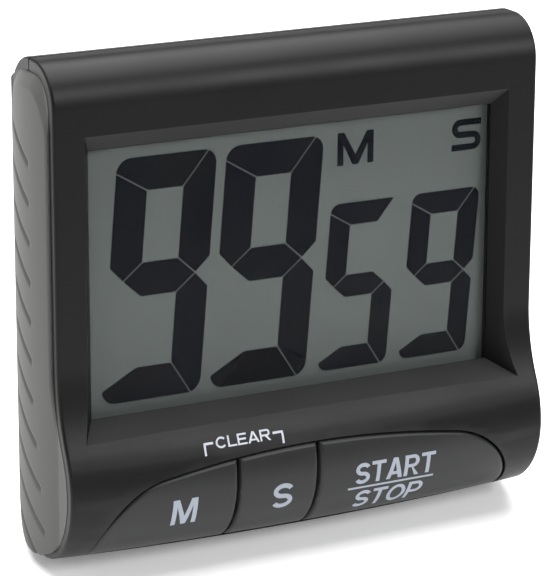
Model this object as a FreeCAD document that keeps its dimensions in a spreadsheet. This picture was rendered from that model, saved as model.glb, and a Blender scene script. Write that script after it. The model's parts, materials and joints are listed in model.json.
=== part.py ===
"""Digital count-down timer: case, LCD, three keys, coin cell, buzzer and fold-out stand.

The pieces are drawn upright: X to the right, Y backwards from the flat face, Z up from the lowest
point of the case's sides. The whole timer is then leaned back onto its stand.
"""
import FreeCAD, Part
import Sketcher
import math
import os
import re

Vector = FreeCAD.Vector
Rotation = FreeCAD.Rotation

SIZES = {
    # case: outline of the side, walls and the split between its two housings
    "face_width": 78.0, "case_height": 74.1, "back_plane": 15.2, "split_plane": 8.5,
    "top_front_radius": 6.2, "top_back_radius": 6.7, "foot_radius": 6.2, "wall": 1.5,
    "belly_depth": 4.52, "belly_height": 12.0, "belly_radius": 12.0, "brow_radius": 15.0,
    "scoop_top": 30.5, "bottom_bow": 1.1, "edge_round": 0.45,
    # window, LCD and board, from the front backwards
    "recess_half": 34.25, "recess_low": 19.5, "recess_high": 63.95, "tub_wall": 1.2,
    "bezel_half": 32.7, "bezel_low": 21.4, "bezel_high": 61.3, "bezel_foot": 20.43,
    "pane_front": 2.6, "pane_thickness": 0.6, "ink": 0.05, "fit_gap": 0.1, "rim_width": 1.05,
    "tub_back": 4.3, "view_half": 32.9, "view_low": 21.2, "view_high": 61.5, "split_gap": 0.3,
    "film": 0.2, "lcd_glass": 0.7, "contact_ledge": 2.0, "board_front": 6.6, "board_thickness": 1.0,
    "board_half": 29.8, "board_low": 3.2, "board_high": 68.4, "post_radius": 1.8,
    "upper_post_x": 20.0, "upper_post_z": 66.3, "lower_post_x": 28.3, "lower_post_z": 16.9,
    # LCD image
    "slant": 0.0813, "segment_gap": 0.2, "digit_low": 22.7,
    # keys
    "arch_half": 34.5, "arch_low": 0.45, "shoulder_half": 24.8, "shoulder_height": 13.1,
    "arch_height": 15.15, "shoulder_radius": 12.3, "key_gap": 0.25, "cap_thickness": 1.8,
    "divide_left": -12.4, "divide_right": 0.7, "key_travel": 0.8, "plunger_tip": 1.9,
    "flange_front": -1.7, "flange_thickness": 1.0, "flange_top": 16.0, "dome_radius": 3.2,
    "plunger_m": -21.3, "plunger_s": -5.9, "plunger_start_stop": 17.0, "plunger_half": 2.2,
    "mat_thickness": 0.8, "pill_radius": 1.3, "pill_thickness": 0.4,
    # grips
    "grip_inset": 1.5, "grip_top": 72.2, "grip_corner": 4.6, "grip_bottom": 0.4,
    "grip_slope": 2.1, "grip_slope_radius": 11.1,
    "grip_belly_radius": 11.6, "grip_bulge": 1.2, "grip_crown_radius": 25.0, "grip_crown_y": 7.5,
    # back: stand, battery, magnets, buzzer, screws
    "lean": 14.0, "stand_angle": 24.5, "stand_width": 22.0, "stand_thickness": 2.2,
    "stand_pivot_z": 46.0, "stand_gap": 0.3, "recess_depth": 2.6, "pivot_depth": 1.2,
    "pin_radius": 0.8, "pin_length": 1.6, "pin_clearance": 0.05, "heel_half": 0.7,
    "cell_x": 25.0, "cell_z": 22.0, "cell_radius": 10.0, "cell_thickness": 3.2, "cell_gap": 0.4,
    "cup_radius": 13.0, "cup_front": 8.9, "cup_floor": 0.8, "door_radius": 11.5,
    "door_thickness": 1.7, "door_gap": 0.1, "lug_radius": 12.2, "lug_thickness": 0.7,
    "lug_angle": 24.0, "door_turn": 40.0, "coin_slot": 12.0,
    "magnet_x": 24.0, "magnet_z": 58.5, "magnet_radius": 6.0, "magnet_thickness": 1.9,
    "buzzer_z": 60.6, "buzzer_radius": 9.0, "ceramic_radius": 6.5, "brass": 0.25,
    "boss_radius": 2.6, "upper_boss_x": 33.0, "upper_boss_z": 68.2, "lower_boss_x": 34.3,
    "lower_boss_z": 6.8, "screw_radius": 1.0, "head_radius": 1.85, "head_height": 1.2,
    "head_depth": 3.0, "screw_reach": 4.2, "lead_radius": 0.35,
}
ACROSS = Rotation(Vector(1, 1, 1), 120)      # sketch x, y -> Y, Z; its normal -> X
FRONTAL = Rotation(Vector(1, 0, 0), 90)      # sketch x, y -> X, Z; its normal -> -Y
BACKWARD = Rotation(Vector(1, 0, 0), -90)    # a cylinder's own Z -> Y
SIDEWAYS = Rotation(Vector(0, 1, 0), 90)     # a cylinder's own Z -> X
BIG = "100"                                  # longer than anything in the timer
PLUNGERS = {"button_m": "plunger_m", "button_s": "plunger_s", "button_start_stop": "plunger_start_stop"}

doc = FreeCAD.newDocument("timer")
sheet = doc.addObject("Spreadsheet::Sheet", "sizes")
for row, (alias, value) in enumerate(SIZES.items(), start=1):
    sheet.set(f"A{row}", alias)
    sheet.set(f"B{row}", str(value))
    sheet.setAlias(f"B{row}", alias)
doc.recompute()

WORDS = re.compile(r"\b(" + "|".join(sorted(SIZES, key=len, reverse=True)) + r")\b")
nodes = {}


def e(text):
    """An expression in the sheet's words, as FreeCAD reads it."""
    return WORDS.sub(r"sizes.\1", str(text))


def number(text):
    """The value of an expression in the sheet's words."""
    value = sheet.evalExpression(e(text))
    return float(getattr(value, "Value", value))


def bind(item, **bindings):
    """Tie properties of an object to expressions; Base_x stands for Placement.Base.x."""
    for prop, text in bindings.items():
        item.setExpression(prop.replace("Base_", "Placement.Base."), e(text))
    return item


def box(name, x, y, z):
    """A block between two expressions along each axis."""
    item = doc.addObject("Part::Box", name)
    bind(item, Length=f"({x[1]}) - ({x[0]})", Width=f"({y[1]}) - ({y[0]})", Height=f"({z[1]}) - ({z[0]})")
    return bind(item, Base_x=x[0], Base_y=y[0], Base_z=z[0])


def rod(name, x, z, radius, y):
    """A round bar along Y between two expressions."""
    item = doc.addObject("Part::Cylinder", name)
    item.Placement.Rotation = BACKWARD
    bind(item, Radius=radius, Height=f"({y[1]}) - ({y[0]})")
    return bind(item, Base_x=x, Base_y=y[0], Base_z=z)


def bar(name, y, z, radius, x):
    """A round bar along X between two expressions."""
    item = doc.addObject("Part::Cylinder", name)
    item.Placement.Rotation = SIDEWAYS
    bind(item, Radius=radius, Height=f"({x[1]}) - ({x[0]})")
    return bind(item, Base_x=x[0], Base_y=y, Base_z=z)


def fuse(name, *items):
    """The union of several objects."""
    if len(items) == 1:
        return items[0]
    item = doc.addObject("Part::MultiFuse", name)
    item.Shapes = list(items)
    item.Refine = True
    return item


def common(name, *items):
    """What several objects share."""
    item = doc.addObject("Part::MultiCommon", name)
    item.Shapes = list(items)
    return item


def cut(name, base, *tools):
    """A base less its tools."""
    item = doc.addObject("Part::Cut", name)
    item.Base = base
    item.Tool = fuse(name + "_tools", *tools)
    item.Refine = True
    return item


def node(name, *items):
    """Name one separate piece, or one group of identical pieces."""
    item = doc.addObject("Part::Compound", name)
    item.Label = name
    item.Links = list(items)
    nodes[name] = item
    return item


def outline(sketch, corners):
    """Draw a closed outline. Each corner is (x, y, radius): a radius bends the side that follows it,
    outwards when positive and inwards when negative, and None leaves that side straight."""
    points = [Vector(number(x), number(y), 0) for x, y, _ in corners]
    for i, (x, y, radius) in enumerate(corners):
        start, end = points[i], points[(i + 1) % len(points)]
        if radius is None:
            sketch.addGeometry(Part.LineSegment(start, end), False)
            continue
        r = number(radius)
        chord = end - start
        side = Vector(-chord.y, chord.x, 0).normalize()
        rise = math.sqrt(max(r * r - chord.Length ** 2 / 4, 0.0))
        centre = (start + end) * 0.5 + side * math.copysign(rise, r)
        middle = centre - side * r
        arc = Part.Arc(start, middle, end)
        sketch.addGeometry(arc, False)
    for i, (x, y, radius) in enumerate(corners):
        after = (i + 1) % len(corners)
        here = end_of(sketch, i, points[after])
        there = end_of(sketch, after, points[after])
        sketch.addConstraint(Sketcher.Constraint("Coincident", i, here, after, there))
    for i, (x, y, radius) in enumerate(corners):
        at = end_of(sketch, i, points[i])
        for kind, text, value in (("DistanceX", x, points[i].x), ("DistanceY", y, points[i].y)):
            index = sketch.addConstraint(Sketcher.Constraint(kind, -1, 1, i, at, value))
            sketch.setExpression(f"Constraints[{index}]", e(text))
        if radius is not None:
            r = abs(number(radius))
            index = sketch.addConstraint(Sketcher.Constraint("Radius", i, r))
            sketch.setExpression(f"Constraints[{index}]", e(f"abs({radius})"))


def end_of(sketch, index, point):
    """Which end of a sketch element lies at a point: 1 for its start, 2 for its end."""
    near = [(sketch.getPoint(index, end) - point).Length for end in (1, 2)]
    return 1 + near.index(min(near))


def flat_sketch(name, rotation, corners):
    """A sketch that stands on its own, turned into the plane it is drawn for."""
    sketch = doc.addObject("Sketcher::SketchObject", name)
    sketch.Placement = FreeCAD.Placement(Vector(), rotation)
    outline(sketch, corners)
    return sketch


def extrude(name, sketch, forward, backward="0"):
    """A sketch carried along its own normal."""
    item = doc.addObject("Part::Extrusion", name)
    item.Base = sketch
    item.DirMode = "Normal"
    item.Solid = True
    return bind(item, LengthFwd=forward, LengthRev=backward)





# --- the case's outer form, and the same form at any depth inside it ---
BROW_Y = "(brow_radius - belly_depth)"
RISE = "(scoop_top - belly_height)"
SCOOP = f"(({RISE}^2 + {BROW_Y}^2 - brow_radius^2) / (2 * belly_depth))"
TURN_Y = f"(({BROW_Y} + {SCOOP}) / ({SCOOP} + brow_radius))"
TURN_Z = f"({RISE} / ({SCOOP} + brow_radius))"
BELLY_Y = "(belly_radius - belly_depth)"
BOW_RADIUS = "(face_width^2 / (8 * bottom_bow) + bottom_bow / 2)"


def case_form(name, depth):
    """The case's solid form, shrunk by a depth. Its side outline is flat face, rounded top, flat back
    and, low down, a hollow that swells into a belly; the lower half bows along X."""
    brow = f"(brow_radius - {depth})"
    upper = [
        (depth, "scoop_top + 2", None),
        ("back_plane - " + depth, "scoop_top + 2", None),
        ("back_plane - " + depth, "case_height - top_back_radius", f"top_back_radius - {depth}"),
        ("back_plane - top_back_radius", f"case_height - {depth}", None),
        ("top_front_radius", f"case_height - {depth}", f"top_front_radius - {depth}"),
        (depth, "case_height - top_front_radius", None),
    ]
    lower = [
        (depth, "scoop_top + 8 - bottom_bow", None),
        (depth, "scoop_top - bottom_bow", f"-({SCOOP} + {depth})"),
        (f"{BROW_Y} - {brow} * {TURN_Y}", f"belly_height - bottom_bow + {brow} * {TURN_Z}", brow),
        (f"{BROW_Y} - {brow}", "belly_height - bottom_bow", f"belly_radius - {depth}"),
        (BELLY_Y, f"belly_height - belly_radius - bottom_bow + {depth}", None),
        ("back_plane - foot_radius", f"{depth} - bottom_bow", f"foot_radius - {depth}"),
        (f"back_plane - {depth}", "foot_radius - bottom_bow", None),
        (f"back_plane - {depth}", "scoop_top + 8 - bottom_bow", None),
    ]
    top = extrude(name + "_upper", flat_sketch(name + "_upper_side", ACROSS, upper), BIG, BIG)
    swing = doc.addObject("Part::Revolution", name + "_lower")
    swing.Source = flat_sketch(name + "_lower_side", ACROSS, lower)
    swing.Axis = Vector(0, 1, 0)
    swing.Symmetric = True
    swing.Solid = True
    swing.setExpression("Base.z", e(f"{BOW_RADIUS} - bottom_bow"))
    swing.setExpression("Angle", e(f"4 * asin(face_width / 2 / {BOW_RADIUS}) / 1 deg * 0.65"))
    half = f"face_width / 2 - {depth}"
    slab = box(name + "_slab", (f"-({half})", half), ("-20", "40"), ("-20", "case_height + 5"))
    return common(name, fuse(name + "_both", top, swing), slab)


def rounded_ends(solid):
    """The form with the long edges round both of its ends eased."""
    half = number("face_width / 2")
    doc.recompute()
    edges = []
    for index, edge in enumerate(solid.Shape.Edges, start=1):
        if all(abs(abs(vertex.X) - half) < 1e-4 for vertex in edge.Vertexes):
            edges.append((index, number("edge_round"), number("edge_round")))
    item = doc.addObject("Part::Fillet", "case_eased")
    item.Base = solid
    item.Edges = edges
    return item


def bosses(name, radius, y, corners=("upper", "lower")):
    """Round bars at the case screws' places."""
    found = []
    for level in corners:
        for side, sign in (("left", "-"), ("right", "")):
            found.append(rod(f"{name}_{level}_{side}", f"{sign}{level}_boss_x", f"{level}_boss_z",
                             radius, y))
    return found


def posts(name, radius, y):
    """Round bars at the board screws' places."""
    found = []
    for level in ("upper", "lower"):
        for side, sign in (("left", "-"), ("right", "")):
            found.append(rod(f"{name}_{level}_{side}", f"{sign}{level}_post_x", f"{level}_post_z",
                             radius, y))
    return found


def arch(name, inset, low):
    """The outline that the three keys share, seen from the front, as a bar through the belly."""
    shoulder = f"(shoulder_radius - {inset})"
    rise = "(arch_height - shoulder_height)"
    crown = f"((shoulder_half^2 + {rise}^2) / (2 * {rise}) - {inset})"
    corners = [
        (f"-(arch_half - {inset})", low, None),
        (f"arch_half - {inset}", low, shoulder),
        (f"shoulder_half - 0.2 * {inset}", f"shoulder_height - {inset}", crown),
        (f"-(shoulder_half - 0.2 * {inset})", f"shoulder_height - {inset}", shoulder),
    ]
    return extrude(name, flat_sketch(name + "_front", FRONTAL, corners), "10", "4.4")


outer_sharp = case_form("outer", "0")
outer = rounded_ends(outer_sharp)
inner = case_form("inner", "wall")
key_inner = case_form("key_inner", "cap_thickness")


def front_housing():
    """The face, its window tub, the key opening, the screw bosses and the board posts."""
    half = box("front_half", ("-" + BIG, BIG), ("-20", "split_plane"), ("-20", BIG))
    shell = cut("front_shell", common("front_block", outer, half), inner)
    tub = box("tub", ("-recess_half - tub_wall", "recess_half + tub_wall"), ("-belly_depth", "tub_back"),
              ("recess_low - tub_wall", "recess_high + tub_wall"))
    ribs = []
    for side, sign in (("left", -1), ("right", 1)):
        reach = ("lower_boss_x", "face_width / 2 - 0.5") if sign > 0 else (
            "0.5 - face_width / 2", "-lower_boss_x")
        ribs.append(box(f"boss_rib_{side}", reach, ("4", "split_plane"),
                        ("lower_boss_z - 1.5", "lower_boss_z + 1.5")))
    inside = fuse("front_inside", tub, *ribs,
                  *bosses("front_boss_up", "boss_radius", ("1", "split_plane"), ("upper",)),
                  *bosses("front_boss_low", "boss_radius", ("4", "split_plane"), ("lower",)),
                  *posts("board_post", "post_radius", ("-3", "board_front")))
    solid = fuse("front_solid", shell, common("front_inside_held", inside, outer_sharp))
    recess = box("recess", ("-recess_half", "recess_half"), ("pane_front", "6"),
                 ("recess_low", "recess_high"))
    pilots = bosses("pilot", "screw_radius", ("screw_reach - 0.4", "split_plane + 1"))
    holes = posts("post_pilot", "0.75", ("board_front - 3.2", "board_front + 1"))
    ring = box("split_ring", ("-" + BIG, BIG), ("split_plane - split_gap", "split_plane"), ("-20", BIG))
    joint = cut("split_groove", ring, case_form("split_core", "split_gap"))
    node("front_housing", cut("front_cut", solid, recess, bezel(), arch("key_opening", "0", "arch_low"),
                              joint, *pilots, *holes))


def bezel():
    """The window's opening: a block that narrows from the face back to the pane on all four sides."""
    item = doc.addObject("Part::Wedge", "bezel")
    reach, depth = "(pane_front + 8)", "pane_front"
    grow = f"{reach} / {depth}"
    half = f"(bezel_half + (recess_half - bezel_half) * {grow})"
    bind(item, Xmin=f"-{half}", Xmax=half, X2min="-bezel_half", X2max="bezel_half",
         Ymin="-8", Ymax=f"{depth} + 0.01",
         Zmin=f"bezel_low - (bezel_low - bezel_foot) * {grow}", Z2min="bezel_low",
         Zmax=f"bezel_high + (recess_high - bezel_high) * {grow}", Z2max="bezel_high")
    return item


def rear_housing():
    """The back, with the stand's recess, the battery cup, magnet cups, buzzer ring and screw bosses."""
    half = box("rear_half", ("-" + BIG, BIG), ("split_plane", "40"), ("-20", BIG))
    shell = cut("rear_shell", common("rear_block", outer, half), inner)
    slot = "stand_width / 2 + stand_gap"
    top = "stand_pivot_z + stand_thickness / 2 + stand_gap + 2"
    tub = box("stand_tub", (f"-({slot} + wall)", f"{slot} + wall"),
              ("back_plane - recess_depth - 1.2", "back_plane"), ("-2", f"{top} + wall"))
    blocks = [box(f"pivot_block_{side}", span, ("back_plane - 3.6", "back_plane"),
                  ("stand_pivot_z - 2.4", "stand_pivot_z + 2.4"))
              for side, span in (("left", (f"-({slot} + pin_length + 1.2)", f"-({slot})")),
                                 ("right", (slot, f"{slot} + pin_length + 1.2")))]
    cups = [rod(f"magnet_cup_{side}", sign + "magnet_x", "magnet_z", "magnet_radius + 1.2",
                ("back_plane - magnet_thickness - 1", "back_plane"))
            for side, sign in (("left", "-"), ("right", ""))]
    ring = cut("buzzer_ring", rod("ring_outer", "0", "buzzer_z", "buzzer_radius + 0.3",
                                  ("back_plane - wall - 0.8", "back_plane - 0.5")),
               rod("ring_inner", "0", "buzzer_z", "buzzer_radius - 1", ("0", "20")))
    cup = rod("battery_cup", "cell_x", "cell_z", "cup_radius", ("cup_front", "back_plane"))
    inside = fuse("rear_inside", tub, cup, ring, *blocks, *cups,
                  *bosses("rear_boss", "boss_radius", ("split_plane", "back_plane")))
    solid = fuse("rear_solid", shell, common("rear_inside_held", inside, outer_sharp))
    recess = box("stand_recess", (f"-({slot})", slot), ("back_plane - recess_depth", "40"), ("-5", top))
    pins = bar("pin_holes", "back_plane - pivot_depth", "stand_pivot_z", "pin_radius + pin_clearance",
               (f"-({slot} + pin_length + 0.3)", f"{slot} + pin_length + 0.3"))
    pockets = [rod(f"magnet_pocket_{side}", sign + "magnet_x", "magnet_z", "magnet_radius",
                   ("back_plane - magnet_thickness", "40"))
               for side, sign in (("left", "-"), ("right", ""))]
    seat = "back_plane - door_thickness - door_gap"
    cell = rod("cell_pocket", "cell_x", "cell_z", "cell_radius + cell_gap", ("cup_front + cup_floor", "40"))
    rim = rod("door_seat", "cell_x", "cell_z", "door_radius + door_gap", (seat, "40"))
    sounds = [rod(f"sound_hole_{i}", f"3.2 * cos({72 * i} deg)", f"buzzer_z + 3.2 * sin({72 * i} deg)",
                  "0.6", ("10", "40")) for i in range(5)]
    grooves = []
    for i, start in enumerate((0, 180)):
        grooves.append(sector(f"lug_track_{i}", f"{start} - lug_angle / 2 - 2", "lug_angle + door_turn + 4",
                              "lug_radius + door_gap",
                              (seat, "back_plane - door_thickness + lug_thickness + door_gap")))
        grooves.append(sector(f"lug_entry_{i}", f"{start} + door_turn - lug_angle / 2 - 2", "lug_angle + 4",
                              "lug_radius + door_gap", (seat, "40")))
    slots = [box("plus_slot", ("cell_x - cell_radius - cell_gap - 0.1", "cell_x - 6"),
                 ("cup_front - 1", "cup_front + cup_floor + cell_thickness + 0.2"),
                 ("cell_z - 2.1", "cell_z + 2.1")),
             box("minus_slot", ("cell_x + 5.4", "cell_x + 7.6"), ("cup_front - 1", "cup_front + 2"),
                 ("cell_z - 2.1", "cell_z + 2.1"))]
    clear = bosses("screw_clearance", "screw_radius + 0.1", ("0", "40"))
    sink = bosses("head_sink", "head_radius + 0.15", ("back_plane - head_depth", "40"))
    node("rear_housing", cut("rear_cut", solid, recess, pins, cell, rim, *pockets, *sounds, *grooves,
                             *slots, *clear, *sink))


def sector(name, start, sweep, radius, y):
    """A slice of a disc about the battery door's axis; angles are degrees from +X towards -Z."""
    item = doc.addObject("Part::Cylinder", name)
    item.Placement = FreeCAD.Placement(Vector(), BACKWARD.multiply(Rotation(Vector(0, 0, 1), number(start))))
    bind(item, Radius=radius, Angle=sweep, Height=f"({y[1]}) - ({y[0]})")
    return bind(item, Base_x="cell_x", Base_y=y[0], Base_z="cell_z")


def grips():
    """The soft side panels: the case's side outline, drawn in, under a crowned outer face."""
    brow = "(brow_radius - grip_inset)"
    back = "(back_plane - 0.2)"
    corners = [
        ("grip_inset", "scoop_top", f"-({SCOOP} + grip_inset)"),
        (f"{BROW_Y} - {brow} * {TURN_Y}", f"belly_height + {brow} * {TURN_Z}", brow),
        (f"{BROW_Y} - {brow}", "belly_height", "grip_belly_radius"),
        (f"{BROW_Y} - {brow} + grip_belly_radius", "belly_height - grip_belly_radius", None),
        (f"{back} - foot_radius", "grip_bottom", "foot_radius"),
        (back, "grip_bottom + foot_radius", None),
        (back, "grip_top - grip_slope", "grip_slope_radius"),
        ("split_plane", "grip_top", None),
        ("grip_inset + grip_corner", "grip_top", "grip_corner"),
        ("grip_inset", "grip_top - grip_corner", None),
    ]
    for side, sign in (("left", "-"), ("right", "")):
        plate = extrude(f"{side}_grip_plate", flat_sketch(f"{side}_grip_side", ACROSS, corners),
                        *(("face_width / 2 + 5", "0") if sign == "" else ("0", "face_width / 2 + 5")))
        crown = doc.addObject("Part::Cylinder", f"{side}_grip_crown")
        bind(crown, Radius="grip_crown_radius", Height="200", Base_y="grip_crown_y", Base_z="-50",
             Base_x=f"{sign}(face_width / 2 + grip_bulge - grip_crown_radius)")
        beyond = ("face_width / 2", "face_width") if sign == "" else ("-face_width", "-face_width / 2")
        side_block = box(f"{side}_grip_block", beyond, ("-20", "40"), ("-20", "100"))
        node(f"{side}_grip", common(f"{side}_grip_solid", plate, crown, side_block))


def display():
    """Window pane with its printed border, the LCD's films and glasses, its frame and its contact."""
    back = "pane_front + pane_thickness"
    side = "recess_half - fit_gap"
    z = ("recess_low + fit_gap", "recess_high - fit_gap")
    node("display_window", box("pane", (f"-({side})", side), ("pane_front", back), z))
    border = cut("border", box("border_block", (f"-({side})", side), (back, f"{back} + ink"), z),
                 box("border_hole", ("-view_half", "view_half"), ("0", "9"), ("view_low", "view_high")))
    node("window_border", border)
    half = "recess_half - rim_width - fit_gap"
    low, high = "recess_low + rim_width + fit_gap", "recess_high - rim_width - fit_gap"
    depth = f"{back} + ink + 0.05"
    short = f"{high} - contact_ledge"
    places = {}
    for name, thickness, top in (("lcd_front_film", "film", short), ("lcd_front_glass", "lcd_glass", high),
                                 ("lcd_image", "ink", None), ("lcd_rear_glass", "lcd_glass", short),
                                 ("lcd_rear_film", "film", short)):
        places[name] = depth
        if top:
            y = (depth, f"{depth} + {thickness}")
            node(name, box(name + "_plate", (f"-({half})", half), y, (low, top)))
        depth = f"{depth} + {thickness}"
    image(number(places["lcd_image"]), number("ink"))
    node("zebra_strip", box("zebra", ("3 - board_half", "board_half - 3"),
                            (places["lcd_image"], "board_front"), (f"{high} - 1.7", f"{high} - 0.2")))
    frame = cut("frame_ring", box("frame_block", (f"-({side})", side),
                                  (f"{back} + ink + 0.05", "board_front"), z),
                box("frame_hole", (f"-({half} + 0.1)", f"{half} + 0.1"), ("0", "9"),
                    (f"{low} - 0.1", f"{high} + 0.1")))
    node("lcd_frame", frame)


def image(front, depth):
    """The lit segments, as thin leaves in the liquid-crystal gap: 99 59 with M and S above."""
    slant, gap, low = number("slant"), number("segment_gap"), number("digit_low")
    leaves = []
    for text, left, wide, tall, stroke, corner in (
            ("99", (-30.47, -13.14), 15.75, 36.35, 5.0, 2.2), ("59", (4.77, 18.48), 11.5, 25.6, 3.4, 1.5)):
        for mark, x in zip(text, left):
            leaves += digit(mark, x, low, wide, tall, stroke, corner, slant, gap, front, depth)
    for letter, x, bottom, wide, tall in (("M", 7.75, 54.1, 6.0, 4.95), ("S", 27.05, 54.15, 5.0, 4.8)):
        leaves.append(letter_leaf(letter, x, bottom, wide, tall, front, depth))
    item = doc.addObject("Part::Feature", "image_leaves")
    item.Shape = Part.makeCompound(leaves)
    node("lcd_image", item)


def leaf(points, front, depth):
    """A thin flat solid with the given corners in X and Z."""
    wire = Part.makePolygon([Vector(x, front, z) for x, z in points + points[:1]])
    return Part.Face(wire).extrude(Vector(0, depth, 0))


def digit(mark, left, low, wide, tall, stroke, corner, slant, gap, front, depth):
    """One seven-segment figure: bars with mitred ends, leaned over and rounded at its outer corners."""
    waist, reach = tall / 2, stroke / 2
    tip, side_cut, top_cut, foot_cut = stroke * 0.42, stroke * 0.42, stroke * 0.26, stroke * 0.3
    upper_left, upper_right = (stroke, tall - stroke), (wide - stroke, tall - stroke)
    lower_right = (wide - stroke, stroke)
    bars = {
        "a": [(0, tall - side_cut), (0, tall), (wide - top_cut, tall), upper_right, upper_left],
        "f": [(0, tall - side_cut), upper_left, (stroke, waist + reach), (tip, waist), (0, waist + tip)],
        "b": [(wide - top_cut, tall), (wide, tall), (wide, waist + tip), (wide - tip, waist),
              (wide - stroke, waist + reach), upper_right],
        "g": [(tip, waist), (stroke, waist + reach), (wide - stroke, waist + reach), (wide - tip, waist),
              (wide - stroke, waist - reach), (stroke, waist - reach)],
        "c": [(wide, waist - tip), (wide, 0), (wide - foot_cut, 0), lower_right,
              (wide - stroke, waist - reach), (wide - tip, waist)],
        "d": [(0, side_cut), (0, 0), (wide - foot_cut, 0), lower_right, (stroke, stroke)],
    }
    lit = {"9": "abcdfg", "5": "afgcd"}[mark]
    frame = rounded_slab(wide, tall, corner, front, depth)
    solids = []
    for name in lit:
        shape = leaf(bars[name], front, depth)
        strips = Part.makeCompound([mitre(p, q, gap, front, depth) for p, q in mitred_edges(bars[name])])
        solids += shape.cut(strips).common(frame).Solids
    lean = FreeCAD.Matrix()
    lean.A13 = slant
    placed = []
    for solid in solids:
        leaned = solid.transformGeometry(lean)
        leaned.translate(Vector(left, 0, low))
        placed.append(leaned)
    return placed


def mitred_edges(corners):
    """A bar's slanting edges, where it meets its neighbours and a thin gap is left."""
    edges = list(zip(corners, corners[1:] + corners[:1]))
    return [(p, q) for p, q in edges if p[0] != q[0] and p[1] != q[1]]


def mitre(p, q, gap, front, depth):
    """A thin strip centred on the edge from p to q."""
    along = Vector(q[0] - p[0], 0, q[1] - p[1])
    length = along.Length
    strip = Part.makeBox(length + 2, depth * 3, gap, Vector(-1, -depth, -gap / 2))
    turn = Rotation(Vector(1, 0, 0), along)
    strip.Placement = FreeCAD.Placement(Vector(p[0], front, p[1]), turn)
    return strip


def rounded_slab(wide, tall, corner, front, depth):
    """A flat slab with rounded corners, as large as one figure."""
    slab = Part.makeBox(wide, depth * 3, tall, Vector(0, front - depth, 0))
    upright = [edge for edge in slab.Edges if abs(edge.tangentAt(edge.FirstParameter).y) > 0.9]
    return slab.makeFillet(corner, upright)


def letter_leaf(letter, left, low, wide, tall, front, depth):
    """A plain capital: straight strokes, or for S one stroke bent round two flattened bowls."""
    w, s = wide, tall * 0.2
    if letter == "M":
        points = [(0, 0), (s, 0), (s, tall * 0.62), (w / 2 - s / 2, 0), (w / 2 + s / 2, 0),
                  (w - s, tall * 0.62), (w - s, 0), (w, 0), (w, tall), (w - s * 1.1, tall),
                  (w / 2, tall * 0.3), (s * 1.1, tall), (0, tall)]
    else:
        points = bent_stroke(w, tall, s)
    return leaf([(left + x, low + z) for x, z in points], front, depth)


def bent_stroke(wide, tall, stroke):
    """The outline of an S: from its upper right end round the upper left bowl, across the middle and
    round the lower right bowl to its lower left end."""
    bowl = (tall - stroke) / 4
    left, right = stroke / 2 + bowl, wide - stroke / 2 - bowl
    turns = [90 + 180 * i / 10 for i in range(11)]
    upper = [(left, tall - stroke / 2 - bowl, turn) for turn in turns]
    lower = [(right, stroke / 2 + bowl, 180 - turn) for turn in turns]
    outside, inside = [(wide, tall)], [(wide, tall - stroke)]
    for x, z, turn in upper + lower:
        c, s, bend = math.cos(math.radians(turn)), math.sin(math.radians(turn)), stroke / 2
        sign = 1 if (x, z) == upper[0][:2] else -1
        outside.append((x + (bowl + sign * bend) * c, z + (bowl + sign * bend) * s))
        inside.append((x + (bowl - sign * bend) * c, z + (bowl - sign * bend) * s))
    outside.append((0, stroke))
    inside.append((0, 0))
    return outside + inside[::-1]


def keys():
    """Three caps cut from one belly-shaped band, each with a plunger and a flange behind the wall."""
    shape = common("key_blank", outer_sharp, arch("key_arch", "key_gap", "arch_low + key_gap"))
    half = "key_gap"
    spans = {
        "button_m": ("-arch_half", f"divide_left - {half}", "-25.5", "-17"),
        "button_s": (f"divide_left + {half}", f"divide_right - {half}", "-10", "-2"),
        "button_start_stop": (f"divide_right + {half}", "arch_half", "9", "25.5"),
    }
    for name, (left, right, flange_left, flange_right) in spans.items():
        stem = [f"{PLUNGERS[name]} {sign} plunger_half" for sign in "-+"]
        span = box(name + "_span", (left, right), ("-10", "3"), ("-10", "40"))
        block = common(name + "_block", shape, span)
        cap = cut(name + "_cap", block, key_inner)
        plunger = box(name + "_plunger", stem,
                      ("-belly_depth + cap_thickness - 0.4", "plunger_tip"),
                      ("belly_height - 5.2", "belly_height - 0.8"))
        flange = box(name + "_flange", (flange_left, flange_right),
                     ("flange_front", "flange_front + flange_thickness"), ("6", "flange_top"))
        neck = box(name + "_neck", stem,
                   ("-belly_depth + cap_thickness - 0.4", "flange_front + 0.2"), ("6.8", "12.4"))
        held = common(name + "_stem", fuse(name + "_stem_parts", plunger, neck), outer_sharp)
        node(name, fuse(name + "_solid", cap, held, flange))


def keypad():
    """The rubber mat on the board, a dome under each key, and the carbon pills inside the domes."""
    face, floor = "board_front - mat_thickness", "board_front - 2 * mat_thickness"
    mat = box("mat", ("-28", "26"), (face, "board_front"), ("4.6", "14.2"))
    domes, hollows, pills = [], [], []
    for i, centre in enumerate(PLUNGERS.values()):
        dome = doc.addObject("Part::Cone", f"dome_{i}")
        dome.Placement.Rotation = BACKWARD
        bind(dome, Radius1="dome_radius - 1", Radius2="dome_radius", Height=f"{face} - plunger_tip",
             Base_x=centre, Base_y="plunger_tip", Base_z="belly_height - 3")
        domes.append(dome)
        hollows.append(rod(f"dome_hollow_{i}", centre, "belly_height - 3", "dome_radius - 1.6",
                           (floor, "board_front + 1")))
        pills.append(rod(f"pill_{i}", centre, "belly_height - 3", "pill_radius",
                         (floor, f"{floor} + pill_thickness")))
    node("keypad", cut("keypad_solid", fuse("keypad_blank", mat, *domes), *hollows))
    node("keypad_pills", *pills)


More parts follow.
